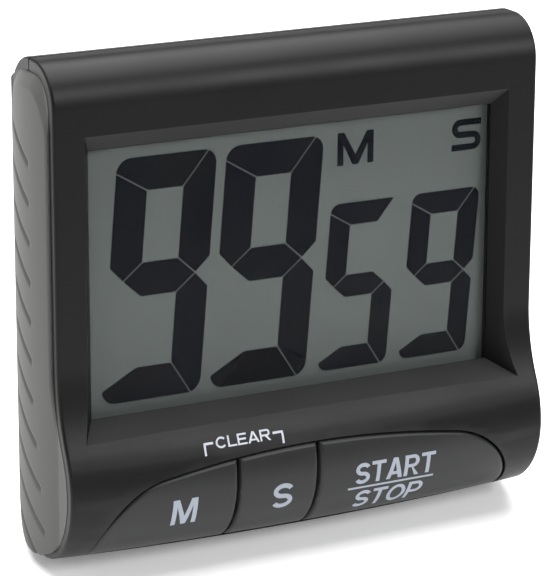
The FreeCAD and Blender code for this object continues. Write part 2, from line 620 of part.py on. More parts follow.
def board():
    """The printed board with its screws, the controller under its blob, and the crystal."""
    body = doc.addObject("PartDesign::Body", "board_body")
    plane = [item for item in body.Origin.OriginFeatures if item.Role == "XZ_Plane"][0]
    sketch = body.newObject("Sketcher::SketchObject", "board_outline")
    sketch.AttachmentSupport = [(plane, "")]
    sketch.MapMode = "FlatFace"
    sketch.setExpression("AttachmentOffset.Base.z", e("-board_front - board_thickness"))
    doc.recompute()
    outline(sketch, [("-board_half", "board_low", None), ("board_half", "board_low", None),
                     ("board_half", "board_high", None), ("-board_half", "board_high", None)])
    pad = body.newObject("PartDesign::Pad", "board_pad")
    pad.Profile = sketch
    pad.setExpression("Length", e("board_thickness"))
    doc.recompute()
    holes = posts("board_hole", "screw_radius", ("0", "20"))
    node("main_board", cut("board_drilled", body, *holes))
    back = "board_front + board_thickness"
    screws = []
    for head, shank in zip(posts("board_head", "1.6", (back, f"{back} + 0.9")),
                           posts("board_shank", "0.75", ("board_front - 2.8", back))):
        screws.append(fuse(head.Name + "_screw", head, shank))
    node("board_screws", *screws)
    blob = doc.addObject("Part::Sphere", "blob_ball")
    bind(blob, Radius="19", Base_x="-8", Base_y=f"{back} + 1.6 - 19", Base_z="40")
    node("controller_blob", common("blob", blob, box("blob_keep", ("-30", "30"), (back, "20"), ("0", "70"))))
    node("crystal", bar("crystal_can", f"{back} + 1", "30", "1", ("-24", "-18")))


def battery():
    """The coin cell, its two contacts and the door that turns in its seat."""
    floor = "cup_front + cup_floor"
    cell_low = f"{floor} + 0.25"
    rim = f"{cell_low} + 0.5"
    top = f"{cell_low} + cell_thickness"
    node("coin_cell", fuse("cell_solid",
                           rod("cell_negative", "cell_x", "cell_z", "cell_radius - 1.2", (cell_low, rim)),
                           rod("cell_can", "cell_x", "cell_z", "cell_radius", (rim, top))))
    leaf = box("minus_leaf", ("cell_x - 6", "cell_x + 7"), (floor, cell_low), ("cell_z - 2", "cell_z + 2"))
    tail = box("minus_tail", ("cell_x + 6.5", "cell_x + 7"), ("cup_front - 0.6", cell_low),
               ("cell_z - 1.5", "cell_z + 1.5"))
    node("negative_contact", fuse("minus", leaf, tail))
    node("positive_contact", box("plus_leaf", ("cell_x - cell_radius - 0.3", "cell_x - cell_radius - 0.05"),
                                 ("cup_front - 0.6", top), ("cell_z - 2", "cell_z + 2")))
    door_low = "back_plane - door_thickness"
    disc = rod("door_disc", "cell_x", "cell_z", "door_radius", (door_low, "back_plane - 0.05"))
    lugs = [sector(f"lug_{i}", f"{start} - lug_angle / 2", "lug_angle", "lug_radius",
                   (door_low, f"{door_low} + lug_thickness")) for i, start in enumerate((0, 180))]
    slot = box("coin_slot_cut", ("cell_x - coin_slot / 2", "cell_x + coin_slot / 2"),
               ("back_plane - 0.9", "40"), ("cell_z - 0.9", "cell_z + 0.9"))
    node("battery_door", cut("door_solid", fuse("door_blank", disc, *lugs), slot))


def buzzer():
    """The piezo disc on its ring, and its ceramic."""
    seat = "back_plane - wall - 0.8"
    node("buzzer_disc", rod("brass_disc", "0", "buzzer_z", "buzzer_radius", (f"{seat} - brass", seat)))
    node("buzzer_ceramic", rod("ceramic", "0", "buzzer_z", "ceramic_radius",
                               (f"{seat} - brass - 0.2", f"{seat} - brass")))


def magnets():
    """Two disc magnets let into the back."""
    for side, sign in (("left", "-"), ("right", "")):
        disc = rod(f"{side}_magnet_disc", sign + "magnet_x", "magnet_z", "magnet_radius - 0.05",
                   ("back_plane - magnet_thickness", "back_plane"))
        node(f"{side}_magnet", disc)


def case_screws():
    """Four screws that hold the rear housing to the front one."""
    seat = "back_plane - head_depth"
    screws = []
    for head, shank in zip(bosses("case_head", "head_radius", (seat, f"{seat} + head_height")),
                           bosses("case_shank", "screw_radius - 0.02", ("screw_reach", seat))):
        cross = [box(f"{head.Name}_cross_{i}",
                     (f"{head.Placement.Base.x} - {dx}", f"{head.Placement.Base.x} + {dx}"),
                     (f"{seat} + head_height - 0.7", "40"),
                     (f"{head.Placement.Base.z} - {dz}", f"{head.Placement.Base.z} + {dz}"))
                 for i, (dx, dz) in enumerate(((1.1, 0.25), (0.25, 1.1)))]
        screws.append(cut(head.Name + "_screw", fuse(head.Name + "_blank", head, shank), *cross))
    node("case_screws", *screws)


def stand_length():
    """How long the leg is, so that its foot meets the table when the case leans back on it."""
    lean, opened = math.radians(number("lean")), math.radians(number("stand_angle"))
    pivot_y, pivot_z = number("back_plane - pivot_depth"), number("stand_pivot_z")
    foot_y, foot_z = number("back_plane - foot_radius"), number("foot_radius - bottom_bow")
    floor = foot_z * math.cos(lean) - foot_y * math.sin(lean) - number("foot_radius")
    drop = pivot_z * math.cos(lean) - pivot_y * math.sin(lean) - floor
    tip = number("stand_thickness") / 2
    return (drop - tip) / math.cos(opened - lean)


def stand():
    """The leg: a plate with a round foot, a barrel on two pins, and a heel that stops it when open."""
    y, z = "back_plane - pivot_depth", "stand_pivot_z"
    half = "stand_width / 2"
    thick = "stand_thickness / 2"
    length = stand_length()
    plate = box("leg_plate", (f"-{half}", half), (f"{y} - {thick}", f"{y} + {thick}"),
                (f"{z} - {length}", z))
    foot = bar("leg_foot", y, f"{z} - {length}", thick, (f"-{half}", half))
    barrel = bar("leg_barrel", y, z, thick, (f"-{half}", half))
    pins = bar("leg_pins", y, z, "pin_radius", (f"-({half} + stand_gap + pin_length)",
                                                f"{half} + stand_gap + pin_length"))
    heel_high = ("((recess_depth - pivot_depth - 0.05 - heel_half * cos(stand_angle * 1 deg))"
                 " / sin(stand_angle * 1 deg))")
    heel = box("leg_heel", (f"-{half} + 1", f"{half} - 1"), (f"{y} - heel_half", f"{y} + heel_half"),
               (z, f"{z} + {heel_high}"))
    window = box("leg_window", ("-5", "5"), ("0", "40"), (f"{z} - {length} + 9", f"{z} - 12"))
    leg = cut("leg", fuse("leg_blank", plate, foot, barrel, pins, heel), window)
    doc.recompute()
    pivot = Vector(0, number(y), number(z))
    item = node("stand", leg)
    opened = FreeCAD.Placement(Vector(), Rotation(Vector(1, 0, 0), number("stand_angle")), pivot)
    item.Placement = opened


def lead(name, points, bend):
    """A thin insulated wire: straight runs joined by arcs that touch them."""
    edges, start = [], points[0]
    for before, corner, after in zip(points, points[1:], points[2:]):
        back, on = (before - corner).normalize(), (after - corner).normalize()
        turn = math.pi - back.getAngle(on)
        reach = bend * math.tan(turn / 2)
        first, last = corner + back * reach, corner + on * reach
        middle = corner + (back + on).normalize() * (bend / math.cos(turn / 2) - bend)
        edges.append(Part.LineSegment(start, first).toShape())
        edges.append(Part.Arc(first, middle, last).toShape())
        start = last
    edges.append(Part.LineSegment(start, points[-1]).toShape())
    direction = points[1] - points[0]
    section = Part.Wire(Part.makeCircle(number("lead_radius"), points[0], direction))
    item = doc.addObject("Part::Feature", name + "_tube")
    item.Shape = Part.Wire(edges).makePipeShell([section], True, True)
    node(name, item)


def leads():
    """The buzzer's two wires and the battery's two, from their pieces to the board."""
    board_back = number("board_front + board_thickness")
    disc = number("back_plane - wall - 0.8 - brass") - 0.2
    z = number("buzzer_z")
    floor = number("cup_front")
    cell_x, cell_z = number("cell_x"), number("cell_z")
    for name, x in (("buzzer_lead_live", 2.5), ("buzzer_lead_return", -2.5)):
        lead(name, [Vector(x, disc, z), Vector(x, disc - 2.4, z), Vector(x, disc - 2.4, z - 9),
                    Vector(x, board_back, z - 9)], 0.9)
    plus_x, minus_x = cell_x - number("cell_radius") - 0.35, cell_x + 6.45
    for name, x, z, way in (("battery_lead_positive", plus_x, cell_z + 1, -3.6),
                            ("battery_lead_negative", minus_x, cell_z, -3.4)):
        lead(name, [Vector(x, floor - 0.5, z), Vector(x + way, floor - 0.5, z + 2),
                    Vector(x + way, board_back, z + 2)], 0.4)


front_housing()
rear_housing()
grips()
display()
keys()
keypad()
board()
battery()
buzzer()
magnets()
case_screws()
stand()
leads()
doc.recompute()

for item in doc.Objects:
    if "Invalid" in item.State or "Error" in item.State:
        raise RuntimeError(f"{item.Label} failed: {item.State}")

# lean everything back, then stand it on the floor with the origin under the middle of its box
tilt = FreeCAD.Placement(Vector(), Rotation(Vector(1, 0, 0), -number("lean")))
for item in nodes.values():
    item.Placement = tilt.multiply(item.Placement)
doc.recompute()
extent = FreeCAD.BoundBox()
for item in nodes.values():
    extent.add(item.Shape.optimalBoundingBox(False))
seat = FreeCAD.Placement(Vector(-extent.Center.x, -extent.Center.y, -extent.ZMin), Rotation())
for item in nodes.values():
    item.Placement = seat.multiply(item.Placement)
doc.recompute()

for name, item in nodes.items():
    if item.Shape.isNull() or not item.Shape.isValid() or not item.Shape.Solids:
        raise RuntimeError(f"{name} has no sound shape")

os.makedirs("parts", exist_ok=True)
for name, item in nodes.items():
    item.Shape.exportStep(f"parts/{name}.step")
print(f"{len(nodes)} pieces, {extent.XLength:.2f} x {extent.YLength:.2f} x {extent.ZLength:.2f} mm")
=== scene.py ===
"""Looks of a digital count-down timer, built around its fixed mechanical model.

Everything is in metres. The case leans back on its stand, so shapes of the case are worked out in an
upright case frame (X right, Y back from the flat face, Z up) and then turned into the model's frame.
"""
import json
import math

import bmesh
import bpy
import numpy as np
from mathutils import Matrix, Vector


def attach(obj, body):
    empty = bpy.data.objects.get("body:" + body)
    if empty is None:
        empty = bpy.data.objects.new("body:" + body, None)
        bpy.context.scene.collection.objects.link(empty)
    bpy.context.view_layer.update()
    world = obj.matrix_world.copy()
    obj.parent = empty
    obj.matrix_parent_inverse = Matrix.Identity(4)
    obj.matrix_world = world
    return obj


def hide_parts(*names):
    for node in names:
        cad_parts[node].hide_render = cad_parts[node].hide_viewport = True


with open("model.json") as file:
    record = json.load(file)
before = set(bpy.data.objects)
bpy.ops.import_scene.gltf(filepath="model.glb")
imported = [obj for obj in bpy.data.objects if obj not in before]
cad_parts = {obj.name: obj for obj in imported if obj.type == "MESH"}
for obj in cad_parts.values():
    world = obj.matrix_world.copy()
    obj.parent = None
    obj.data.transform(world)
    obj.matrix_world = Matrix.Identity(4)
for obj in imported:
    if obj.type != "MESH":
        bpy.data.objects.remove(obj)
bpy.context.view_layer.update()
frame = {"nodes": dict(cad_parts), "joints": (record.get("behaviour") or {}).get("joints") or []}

bl_info = {
    "name": "Count-down timer looks",
    "version": (1, 0, 0),
    "blender": (4, 5, 0),
    "location": "3D View > Sidebar > Timer",
    "description": "Builds the outside of a digital count-down timer around its mechanical model",
    "category": "Object",
}

MM = 0.001

# --- the case frame, found from the model's own joints ---
JOINTS = {joint["name"]: joint for joint in frame["joints"]}
BACKWARD = np.array(JOINTS["button_s_press"]["axis"])
LEAN = math.atan2(-BACKWARD[2], BACKWARD[1])
TURN = np.array([[1, 0, 0],
                 [0, math.cos(LEAN), math.sin(LEAN)],
                 [0, -math.sin(LEAN), math.cos(LEAN)]])
PIVOT_IN_CASE = np.array([0, 14.0, 46.0]) * MM
ORIGIN = np.array(JOINTS["stand_fold"]["pos_m"]) - TURN @ PIVOT_IN_CASE


def to_model(points):
    """Case-frame points turned by the lean and moved to where the case stands."""
    return np.asarray(points, float) @ TURN.T + ORIGIN


# --- the sizes and colours that a user would change ---
def length(name, description, default):
    """A length property in metres, given here in millimetres."""
    return bpy.props.FloatProperty(name=name, description=description, default=default * MM,
                                   unit="LENGTH", subtype="DISTANCE", precision=5)


def colour(name, description, default):
    """A colour property."""
    return bpy.props.FloatVectorProperty(name=name, description=description, default=default, size=3,
                                         subtype="COLOR", min=0, max=1)


class CaseSizes(bpy.types.PropertyGroup):
    """The outline of the case's front and the opening of its window."""
    width: length("Width", "Width of the face", 78.0)
    belly_depth: length("Belly depth", "How far the belly stands in front of the face", 4.52)
    belly_height: length("Belly height", "Height of the belly's crest", 12.0)
    belly_radius: length("Belly radius", "Radius under the crest", 12.0)
    brow_radius: length("Brow radius", "Radius over the crest", 15.0)
    scoop_top: length("Scoop top", "Height where the flat face begins", 30.5)
    bow: length("Bow", "How far the bottom bows down in the middle", 1.1)
    window_half: length("Window half width", "Half the width of the opening in the face", 34.25)
    window_low: length("Window low", "Height of the opening's lower edge", 18.0)
    window_high: length("Window high", "Height of the opening's upper edge", 63.95)
    window_near: length("Window near", "Depth where the slanting walls begin, on the swelling belly", -2.0)
    window_depth: length("Window depth", "Depth behind the face where the display lies", 4.2)


class KeySizes(bpy.types.PropertyGroup):
    """The arch that holds the three keys, and their caps."""
    arch_half: length("Arch half width", "Half the width of the key arch at its foot", 34.25)
    arch_low: length("Arch low", "Height of the keys' lower edge", 0.7)
    shoulder_half: length("Shoulder half width", "Half the width where the crown begins", 24.75)
    shoulder_height: length("Shoulder height", "Height where the crown begins", 12.85)
    arch_height: length("Arch height", "Height of the arch's crown", 14.9)
    shoulder_radius: length("Shoulder radius", "Radius of the arch's shoulders", 12.05)
    divide_left: length("Left divide", "Place of the gap between the two small keys", -12.4)
    divide_right: length("Right divide", "Place of the gap before the large key", 0.7)
    gap: length("Gap", "Half the gap between two keys", 0.25)
    edge: length("Edge", "Rounding of the keys' edges", 0.55)
    thickness: length("Thickness", "Thickness of a cap", 1.8)
    deepest: length("Deepest", "How far back a cap may reach and still have room to travel", 3.5)


class GripSizes(bpy.types.PropertyGroup):
    """The soft side panels and their slanting grooves."""
    inset: length("Inset", "How far the panel stays behind the case's outline", 1.5)
    bottom: length("Bottom", "Height of the panel's lower end", 0.4)
    back: length("Back", "Depth of the panel's straight back edge", 15.0)
    foot: length("Foot", "Radius of the lower back corner", 6.2)
    top: length("Top", "Height of the panel's upper end", 72.2)
    corner: length("Corner", "Radius of the panel's upper front corner", 4.6)
    slope_start: length("Slope start", "Depth where the top begins to fall", 8.5)
    slope_fall: length("Slope fall", "How far the top falls to the back edge", 2.1)
    bulge: length("Bulge", "How far the panel stands out from the case", 1.2)
    edge: length("Edge", "Rounding of the panel's rim", 0.35)
    facet: length("Facet", "Width of the facet at the upper front corner", 2.0)
    facet_low: length("Facet low", "Height where the facet begins", 64.0)
    facet_grow: length("Facet growth", "Height over which the facet grows to its width", 5.0)
    facet_back: length("Facet back", "Depth where the facet ends", 14.5)
    crown: length("Crown", "Radius of the panel's outward curve", 25.0)
    crown_y: length("Crown centre", "Depth where the panel stands out furthest", 7.5)
    groove_first: length("First groove", "Height of the first groove at the back edge", 64.5)
    groove_pitch: length("Groove pitch", "Distance between two grooves, measured upwards", 5.85)
    groove_drop: length("Groove drop", "How far a groove would fall over the panel's whole depth", 9.3)
    groove_depth: length("Groove depth", "Depth of a groove", 0.36)
    groove_width: length("Groove width", "Half width of a groove", 0.36)
    reach_top: length("Reach top", "Height below which the grooves grow longer", 30.0)
    reach_span: length("Reach span", "Height over which they grow", 20.0)


class Finishes(bpy.types.PropertyGroup):
    """The colours of the surfaces."""
    case: colour("Case", "Moulded black plastic", (0.0036, 0.0036, 0.0038))
    # painted light: the window's slanting walls are paler than the case, standing in for the light they catch
    painted_light_walls: colour("Surround", "Slanting walls round the display", (0.021, 0.021, 0.021))
    # painted sheen: the key caps are paler than the case plastic, standing in for the sheen they show
    key: colour("Key", "Key caps", (0.0135, 0.0138, 0.0142))
    grip: colour("Grip", "Soft grey side panels", (0.080, 0.0815, 0.078))
    ink: colour("Legend ink", "Legends printed on the keys", (0.33, 0.36, 0.42))
    pale_ink: colour("Pale ink", "Legend printed over the keys", (0.52, 0.54, 0.60))
    screen: colour("Screen", "Unlit display", (0.105, 0.119, 0.115))
    segment: colour("Segment", "Lit display segments", (0.0045, 0.0052, 0.0085))
    border: colour("Border", "Printed border of the window", (0.012, 0.012, 0.012))


def case():
    return bpy.context.scene.timer_case


def keys():
    return bpy.context.scene.timer_keys


def grip():
    return bpy.context.scene.timer_grip


def finish():
    return bpy.context.scene.timer_finish


# --- surfaces ---
def front_arcs(c):
    """Depth of the brow arc's centre, radius of the hollow arc that touches it and the flat face, and
    the height where the two arcs meet."""
    rise, brow_y = c.scoop_top - c.belly_height, c.brow_radius - c.belly_depth
    scoop = (rise ** 2 + brow_y ** 2 - c.brow_radius ** 2) / (2 * c.belly_depth)
    meet = c.belly_height + c.brow_radius * rise / (scoop + c.brow_radius)
    return brow_y, scoop, meet


def front_y(x, z):
    """Depth of the case's front in the case frame. From the top down it is the flat face, a hollow arc
    that leaves it, a swelling arc up to the crest and the belly's arc under it. Seen along X the whole
    lower part is turned about a far axis, so heights are first taken back to the outline at the ends."""
    c = case()
    far = c.width ** 2 / (8 * c.bow) + c.bow / 2
    z = far - np.hypot(x, far - c.bow - z)
    brow_y, scoop, meet = front_arcs(c)
    hollow = -scoop + np.sqrt(np.clip(scoop ** 2 - (c.scoop_top - z) ** 2, 0, None))
    swell = brow_y - np.sqrt(np.clip(c.brow_radius ** 2 - (z - c.belly_height) ** 2, 0, None))
    under = c.belly_radius - c.belly_depth - np.sqrt(
        np.clip(c.belly_radius ** 2 - (c.belly_height - z) ** 2, 0, None))
    curved = np.where(z >= meet, hollow, np.where(z >= c.belly_height, swell, under))
    return np.where(z >= c.scoop_top, 0.0, curved)


def front_normal(x, z):
    """Unit outward normal of the case's front, from the slopes of front_y."""
    step = 0.02 * MM
    slope_x = (front_y(x + step, z) - front_y(x - step, z)) / (2 * step)
    slope_z = (front_y(x, z + step) - front_y(x, z - step)) / (2 * step)
    normal = np.stack([slope_x, -np.ones_like(slope_x), slope_z], axis=-1)
    return normal / np.linalg.norm(normal, axis=-1, keepdims=True)


def closer_ends(low, high, count, reach, rim=9):
    """Rising values between two ends: a few close together within reach of each end, the rest even."""
    near = reach * (1 - np.cos(np.linspace(0, math.pi / 2, rim)))
    even = np.linspace(low + reach, high - reach, count)[1:-1]
    return np.concatenate([low + near, even, (high - near)[::-1]])


def rim_distance(u, v, rim):
    """Distance of each point of a grid from the nearest point of a densely sampled rim."""
    flat = np.stack([u.ravel(), v.ravel()], axis=1)
    near = [np.sqrt(((part[:, None, :] - rim[None]) ** 2).sum(axis=2)).min(axis=1)
            for part in np.array_split(flat, 60)]
    return np.concatenate(near).reshape(u.shape)


def grid_rim(u, v):
    """Points a tenth of a millimetre apart along the outer rows and columns of a grid."""
    loop = np.concatenate([np.stack([u[:, 0], v[:, 0]], 1), np.stack([u[-1], v[-1]], 1)[1:],
                           np.stack([u[:, -1], v[:, -1]], 1)[::-1][1:], np.stack([u[0], v[0]], 1)[::-1][1:]])
    along = np.concatenate([[0], np.cumsum(np.linalg.norm(np.diff(loop, axis=0), axis=1))])
    at = np.arange(0, along[-1], 0.1 * MM)
    return np.stack([np.interp(at, along, loop[:, 0]), np.interp(at, along, loop[:, 1])], axis=1)


def rolled(distance, radius):
    """How far a surface falls away at a distance from its rim when its edge is a quarter circle."""
    inside = np.clip(radius - distance, 0, radius)
    return radius - np.sqrt(radius ** 2 - inside ** 2)


def pad_mesh(name, front, back):
    """A closed mesh from two grids of points with the same rows and columns: a sheet from each, and
    walls between their rims."""
    rows, columns = front.shape[:2]
    size = rows * columns
    index = np.arange(size).reshape(rows, columns)
    sheet = np.stack([index[:-1, :-1], index[1:, :-1], index[1:, 1:], index[:-1, 1:]], axis=-1).reshape(-1, 4)
    loop = np.concatenate([index[:, 0], index[-1, 1:], index[::-1, -1][1:], index[0, ::-1][1:-1]])
    after = np.roll(loop, -1)
    walls = np.stack([loop, after, after + size, loop + size], axis=1)
    faces = np.concatenate([sheet, sheet[:, ::-1] + size, walls])
    mesh = bpy.data.meshes.new(name)
    mesh.from_pydata(np.vstack([front.reshape(-1, 3), back.reshape(-1, 3)]).tolist(), [], faces.tolist())
    outwards(mesh)
    return mesh


def outwards(mesh):
    """Merge doubled points and turn every face outwards."""
    work = bmesh.new()
    work.from_mesh(mesh)
    bmesh.ops.remove_doubles(work, verts=work.verts, dist=1e-6)
    bmesh.ops.dissolve_degenerate(work, edges=work.edges, dist=1e-7)
    bmesh.ops.recalc_face_normals(work, faces=work.faces)
    work.to_mesh(mesh)
    work.free()


def place(name, mesh, material, body, replaced=(), smooth_angle=35):
    """Put a mesh in the scene with its finish, smooth but for its sharp edges, and let it ride."""
    piece = bpy.data.objects.new(name, mesh)
    bpy.context.scene.collection.objects.link(piece)
    mesh.materials.clear()
    mesh.materials.append(material)
    mesh.shade_smooth()
    mesh.set_sharp_from_angle(angle=math.radians(smooth_angle))
    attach(piece, body)
    if replaced:
        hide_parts(*replaced)
    return piece


# --- shader node groups ---
def group(name, inputs, outputs):
    """A new shader node group with named sockets."""
    made = bpy.data.node_groups.new(name, "ShaderNodeTree")
    for label, kind, default in inputs:
        socket = made.interface.new_socket(name=label, in_out="INPUT", socket_type=kind)
        if default is not None:
            socket.default_value = default
    for label, kind in outputs:
        made.interface.new_socket(name=label, in_out="OUTPUT", socket_type=kind)
    return made, made.nodes.new("NodeGroupInput"), made.nodes.new("NodeGroupOutput")


def node(tree, kind, links=(), **settings):
    """A node with its settings; links is a list of (input name or number, source socket or value)."""
    made = tree.nodes.new(kind)
    for key, value in settings.items():
        setattr(made, key, value)
    for target, source in links:
        if isinstance(source, bpy.types.NodeSocket):
            tree.links.new(source, made.inputs[target])
        else:
            made.inputs[target].default_value = source
    return made


def moulded_group():
    """Spark-eroded mould texture: two scales of noise as a height, and a slow change of tone."""
    takes = [("Grain size", "NodeSocketFloat", 2600.0), ("Patch size", "NodeSocketFloat", 60.0)]
    gives = [("Height", "NodeSocketFloat"), ("Tone", "NodeSocketFloat")]
    made, inner, outer = group("Moulded texture", takes, gives)
    spot = node(made, "ShaderNodeTexCoord").outputs["Object"]
    fine = node(made, "ShaderNodeTexNoise", [("Vector", spot), ("Scale", inner.outputs[0]),
                                             ("Detail", 3.0), ("Roughness", 0.6)])
    pits = node(made, "ShaderNodeTexVoronoi", [("Vector", spot), ("Scale", inner.outputs[0])])
    height = node(made, "ShaderNodeMath", [(0, fine.outputs[0]), (1, pits.outputs["Distance"])],
                  operation="ADD")
    slow = node(made, "ShaderNodeTexNoise", [("Vector", spot), ("Scale", inner.outputs[1]),
                                             ("Detail", 4.0), ("Roughness", 0.55)])
    made.links.new(height.outputs[0], outer.inputs["Height"])
    made.links.new(slow.outputs[0], outer.inputs["Tone"])
    return made


def painted_edge_light_group():
    """Painted highlight: where the surface is strongly rounded, the colour is made slightly paler in patches,
    standing in for the light that its edges catch.
    """
    made, inner, outer = group("Painted edge highlight", [("Amount", "NodeSocketFloat", 0.4)],
                               [("Mask", "NodeSocketFloat")])
    geometry = node(made, "ShaderNodeNewGeometry")
    spot = node(made, "ShaderNodeTexCoord").outputs["Object"]
    ramp = node(made, "ShaderNodeMapRange", [("Value", geometry.outputs["Pointiness"]), ("From Min", 0.51),
                                             ("From Max", 0.56)])
    patchy = node(made, "ShaderNodeTexNoise", [("Vector", spot), ("Scale", 220.0)])
    mixed = node(made, "ShaderNodeMath", [(0, ramp.outputs[0]), (1, patchy.outputs[0])], operation="MULTIPLY")
    scaled = node(made, "ShaderNodeMath", [(0, mixed.outputs[0]), (1, inner.outputs[0])],
                  operation="MULTIPLY")
    made.links.new(scaled.outputs[0], outer.inputs["Mask"])
    return made


GROUPS = {}


def shared(name, maker):
    """A node group, built the first time that it is asked for."""
    if name not in GROUPS:
        GROUPS[name] = maker()
    return GROUPS[name]


def material(name, **sockets):
    """A material whose Principled BSDF has these plain values."""
    made = bpy.data.materials.new(name)
    made.use_nodes = True
    shader = made.node_tree.nodes["Principled BSDF"]
    for socket, value in sockets.items():
        shader.inputs[socket.replace("_", " ")].default_value = value
    return made, made.node_tree, shader


def four(colour_value, alpha=1.0):
    return (*colour_value, alpha)


def tinted(tree, shader, base, tone, spread):
    """Base colour that swings a little round its mean with a tone."""
    low = node(tree, "ShaderNodeMix", [("Factor", tone)], data_type="RGBA")
    low.inputs["A"].default_value = four([value * (1 - spread) for value in base])
    low.inputs["B"].default_value = four([min(value * (1 + spread), 1) for value in base])
    tree.links.new(low.outputs["Result"], shader.inputs["Base Color"])
    return low


def moulded_plastic(name, base, rough, grain=2600.0, bump=0.10, edge_highlight=0.0, spread=0.18, gloss=0.2):
    """Injection-moulded plastic with a fine eroded texture and, when asked, a painted highlight that makes
    its rounded edges paler.
    """
    made, tree, shader = material(name, Roughness=rough, Specular_IOR_Level=gloss)
    texture = node(tree, "ShaderNodeGroup", node_tree=shared("moulded", moulded_group))
    texture.inputs["Grain size"].default_value = grain
    mixed = tinted(tree, shader, base, texture.outputs["Tone"], spread)
    # painted highlight: a paler base colour on strongly rounded edges
    if edge_highlight:
        edge_light = node(tree, "ShaderNodeGroup", node_tree=shared("edge_light", painted_edge_light_group))
        edge_light.inputs["Amount"].default_value = edge_highlight
        paler = node(tree, "ShaderNodeMix", [("Factor", edge_light.outputs["Mask"])], data_type="RGBA")
        tree.links.new(mixed.outputs["Result"], paler.inputs["A"])
        paler.inputs["B"].default_value = four([min(value * 3 + 0.02, 1) for value in base])
        tree.links.new(paler.outputs["Result"], shader.inputs["Base Color"])
    rougher = node(tree, "ShaderNodeMapRange", [("Value", texture.outputs["Tone"]), ("To Min", rough - 0.06),
                                                ("To Max", rough + 0.06)])
    tree.links.new(rougher.outputs[0], shader.inputs["Roughness"])
    bumps = node(tree, "ShaderNodeBump", [("Strength", bump), ("Distance", 0.02 * MM),
                                          ("Height", texture.outputs["Height"])])
    tree.links.new(bumps.outputs[0], shader.inputs["Normal"])
    return made


def soft_rubber():
    """Overmoulded grip: matt, faintly mottled, a touch of sheen where it turns away."""
    made = moulded_plastic("Grip rubber", finish().grip, 0.62, grain=1500.0, bump=0.14, spread=0.07)
    shader = made.node_tree.nodes["Principled BSDF"]
    shader.inputs["Sheen Weight"].default_value = 0.06
    shader.inputs["Sheen Roughness"].default_value = 0.5
    return made


def legend_ink(name, shade):
    """Screen-printed ink: pale, matt and slightly uneven."""
    return moulded_plastic(name, shade, 0.55, grain=4200.0, bump=0.05, spread=0.10)


def screen_film():
    """Reflective film behind the liquid crystal: grey-green, slightly cloudy."""
    return moulded_plastic("Screen film", finish().screen, 0.6, grain=5200.0, bump=0.03, spread=0.05)


def segment_dark():
    """Lit segments: near black with a violet to brown drift."""
    made, tree, shader = material("Lit segments", Roughness=0.42, Specular_IOR_Level=0.05)
    spot = node(tree, "ShaderNodeTexCoord").outputs["Object"]
    cloud = node(tree, "ShaderNodeTexNoise", [("Vector", spot), ("Scale", 75.0),
                                              ("Detail", 2.0)])
    mixed = node(tree, "ShaderNodeMix", [("Factor", cloud.outputs[0])], data_type="RGBA")
    base = finish().segment
    mixed.inputs["A"].default_value = (base[0] * 0.7, base[1] * 0.75, base[2] * 1.25, 1)
    mixed.inputs["B"].default_value = (base[0] * 2.1, base[1] * 1.9, base[2] * 1.1, 1)
    tree.links.new(mixed.outputs["Result"], shader.inputs["Base Color"])
    return made


def clear_pane(name, tint, cover):
    """A thin clear sheet: mostly see-through, with a gloss of its own."""
    made, tree, shader = material(name, Base_Color=four(tint), Roughness=0.12, Alpha=cover)
    spot = node(tree, "ShaderNodeTexCoord").outputs["Object"]
    dust = node(tree, "ShaderNodeTexNoise", [("Vector", spot), ("Scale", 900.0)])
    hazy = node(tree, "ShaderNodeMapRange", [("Value", dust.outputs[0]), ("To Min", 0.10), ("To Max", 0.2)])
    tree.links.new(hazy.outputs[0], shader.inputs["Roughness"])
    return made


def metal(name, base, rough, scratch=900.0):
    """Plated or brushed metal with fine scratches."""
    made, tree, shader = material(name, Metallic=1.0, Base_Color=four(base))
    spot = node(tree, "ShaderNodeTexCoord").outputs["Object"]
    stretched = node(tree, "ShaderNodeMapping", [("Vector", spot), ("Scale", (1, 1, 9))])
    lines = node(tree, "ShaderNodeTexNoise", [("Vector", stretched.outputs[0]), ("Scale", scratch)])
    spread = node(tree, "ShaderNodeMapRange", [("Value", lines.outputs[0]), ("To Min", rough - 0.08),
                                               ("To Max", rough + 0.12)])
    tree.links.new(spread.outputs[0], shader.inputs["Roughness"])
    return made


def board_lacquer():
    """Solder mask: green, glossy, with darker tracks."""
    made, tree, shader = material("Board lacquer", Roughness=0.3)
    spot = node(tree, "ShaderNodeTexCoord").outputs["Object"]
    tracks = node(tree, "ShaderNodeTexBrick", [("Vector", spot), ("Scale", 320.0),
                                               ("Mortar Size", 0.03)])
    tracks.inputs["Color1"].default_value = (0.02, 0.13, 0.05, 1)
    tracks.inputs["Color2"].default_value = (0.03, 0.17, 0.07, 1)
    tracks.inputs["Mortar"].default_value = (0.05, 0.25, 0.10, 1)
    tree.links.new(tracks.outputs["Color"], shader.inputs["Base Color"])
    return made


def dress(name, finish_material):
    """Give a node of the mechanical model its finish."""
    mesh = frame["nodes"][name].data
    mesh.materials.clear()
    mesh.materials.append(finish_material)


# --- operators: one for each piece or group of like pieces ---
class TIMER_OT_housings(bpy.types.Operator):
    """Build the housings, the stand and the battery door as smoothly shaded copies"""
    bl_idname = "timer.housings"
    bl_label = "Housings"

    def execute(self, context):
        # the black plastic's rounded edges get a painted highlight
        black = moulded_plastic("Black plastic", finish().case, 0.42, edge_highlight=0.5)
        front = smooth_copy("front_housing", black, "case")
        # the window's slanting walls get a paler copy of the black plastic: painted light
        paint_walls_lighter(front, moulded_plastic("Window surround", finish().painted_light_walls, 0.5, gloss=0.3))
        smooth_copy("rear_housing", black, "case")
        for name, body in (("stand", "stand"), ("battery_door", "battery_door")):
            smooth_copy(name, black, body)
        return {"FINISHED"}


MERGE = 0.002 * MM  # points closer than this are one
FLAT = 0.04         # faces within this angle, in degrees, are one


